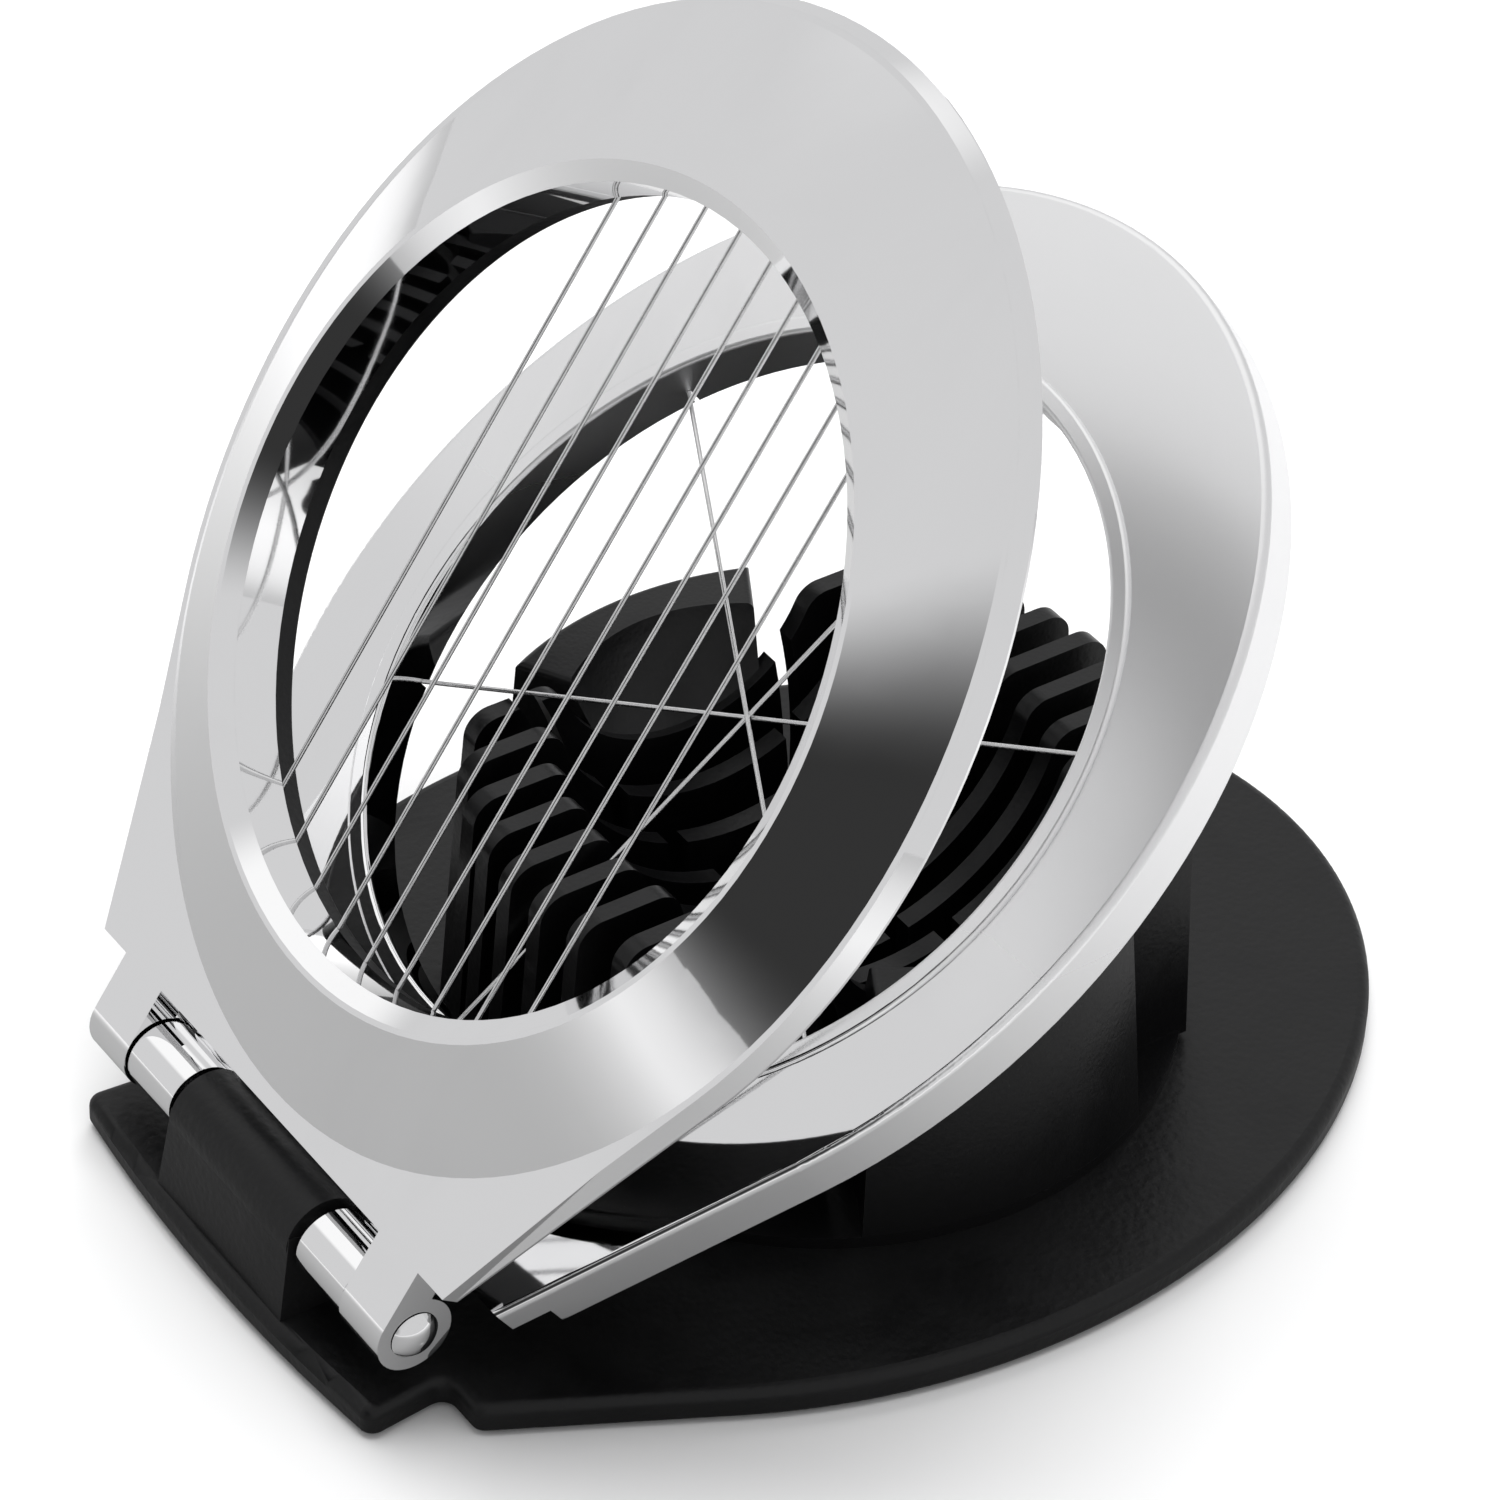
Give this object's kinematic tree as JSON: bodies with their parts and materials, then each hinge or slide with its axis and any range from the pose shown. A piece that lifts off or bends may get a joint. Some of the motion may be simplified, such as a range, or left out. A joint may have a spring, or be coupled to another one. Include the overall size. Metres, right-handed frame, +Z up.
{
  "type": "egg slicer",
  "caption": "Egg slicer and wedger: a chrome frame of slicing wires and a chrome frame of crossed wedge wires, both opening on one hinge over a black egg cradle on a flat base.",
  "frame": {"origin": "on the resting surface, at the middle of the base's outline", "axes": "+Z up, +X along the hinge pin towards its domed head, +Y from the hinge towards the frames' free ends"},
  "size_m": [0.1096, 0.14, 0.1232],
  "materials": {
    "chrome_casting": "polished",
    "black_plastic": "matte",
    "wire_steel": "drawn",
    "screw_steel": "plated",
    "foot_rubber": "matte"
  },
  "bodies": {
    "base": {"base_plate": "black_plastic", "egg_cradle": "black_plastic", "cradle_screws": "screw_steel", "foot_left_near": "foot_rubber", "foot_left_far": "foot_rubber", "foot_right_near": "foot_rubber", "foot_right_far": "foot_rubber", "hinge_pin": "chrome_casting", "hinge_pin_cap": "chrome_casting"},
    "wedger": {"wedge_frame": "chrome_casting", "wedge_wire_ring": "black_plastic", "wedge_ring_screws": "screw_steel", "wedge_wire_1": "wire_steel", "wedge_wire_2": "wire_steel", "wedge_wire_3": "wire_steel", "wedge_wire_ferrules": "wire_steel"},
    "slicer": {"slicing_frame": "chrome_casting", "slicing_wire_ring": "black_plastic", "slicing_ring_screws": "screw_steel", "slicing_wire_1": "wire_steel", "slicing_wire_2": "wire_steel", "slicing_wire_3": "wire_steel", "slicing_wire_4": "wire_steel", "slicing_wire_5": "wire_steel", "slicing_wire_6": "wire_steel", "slicing_wire_7": "wire_steel", "slicing_wire_8": "wire_steel", "slicing_wire_9": "wire_steel", "slicing_wire_ferrules": "wire_steel"}
  },
  "joints": [
    {"name": "wedge_hinge", "type": "hinge", "parent": "base", "child": "wedger", "pos_m": [0, -0.063, 0.0125], "axis": [1, 0, 0], "range_deg": [-36, 34]},
    {"name": "slicing_hinge", "type": "hinge", "parent": "wedger", "child": "slicer", "pos_m": [0, -0.063, 0.0125], "axis": [1, 0, 0], "range_deg": [-20, 60]}
  ]
}
